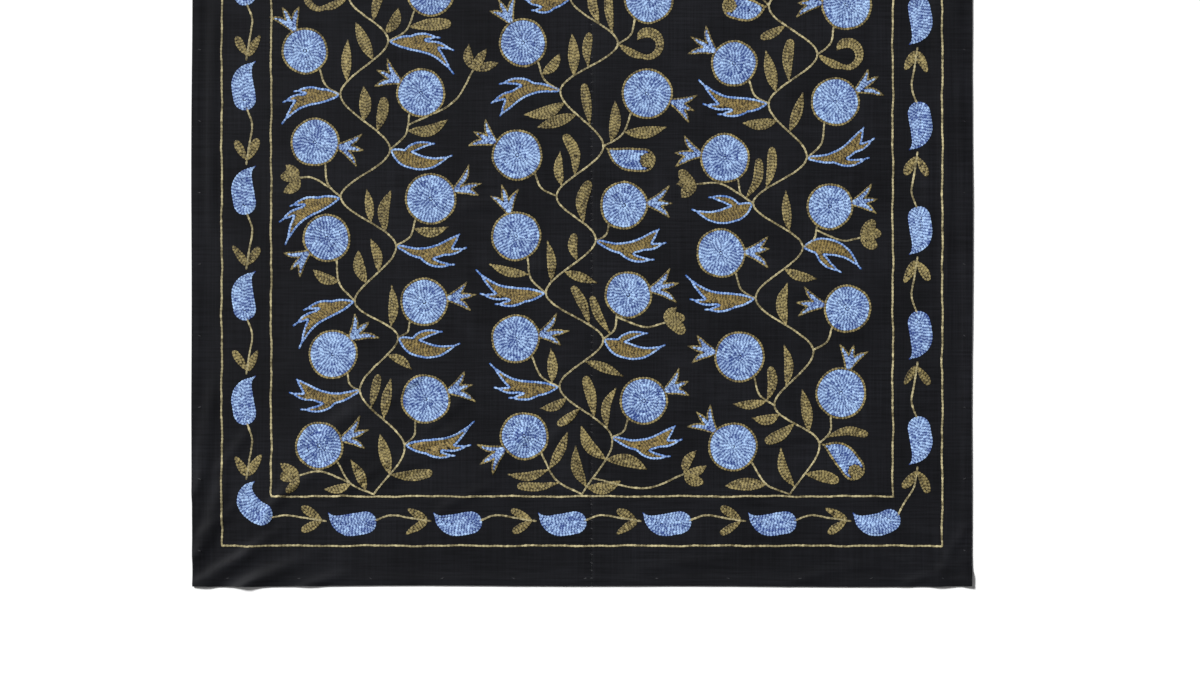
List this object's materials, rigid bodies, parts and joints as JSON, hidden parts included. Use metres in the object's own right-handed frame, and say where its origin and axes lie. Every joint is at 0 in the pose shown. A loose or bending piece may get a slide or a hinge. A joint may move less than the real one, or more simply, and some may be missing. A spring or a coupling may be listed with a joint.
{
  "type": "suzani embroidered textile",
  "caption": "Large black silk wall or bed cloth, embroidered in chain stitch with vines, pomegranates and leaves inside a bordered frame.",
  "frame": {"origin": "on the surface the cloth lies on, under the middle of its outline", "axes": "+X across the cloth to the right, +Y up its length towards the upper border, +Z out of its embroidered face"},
  "size_m": [1.2024, 1.8022, 0.0056],
  "materials": {
    "silk_left": "black slubbed silk with a soft sheen, embroidered in blue and old gold silk",
    "silk_right": "black slubbed silk with a soft sheen, embroidered in blue and old gold silk"
  },
  "bodies": {
    "root": {"panel_left": "silk_left", "panel_right": "silk_right"}
  },
  "joints": []
}
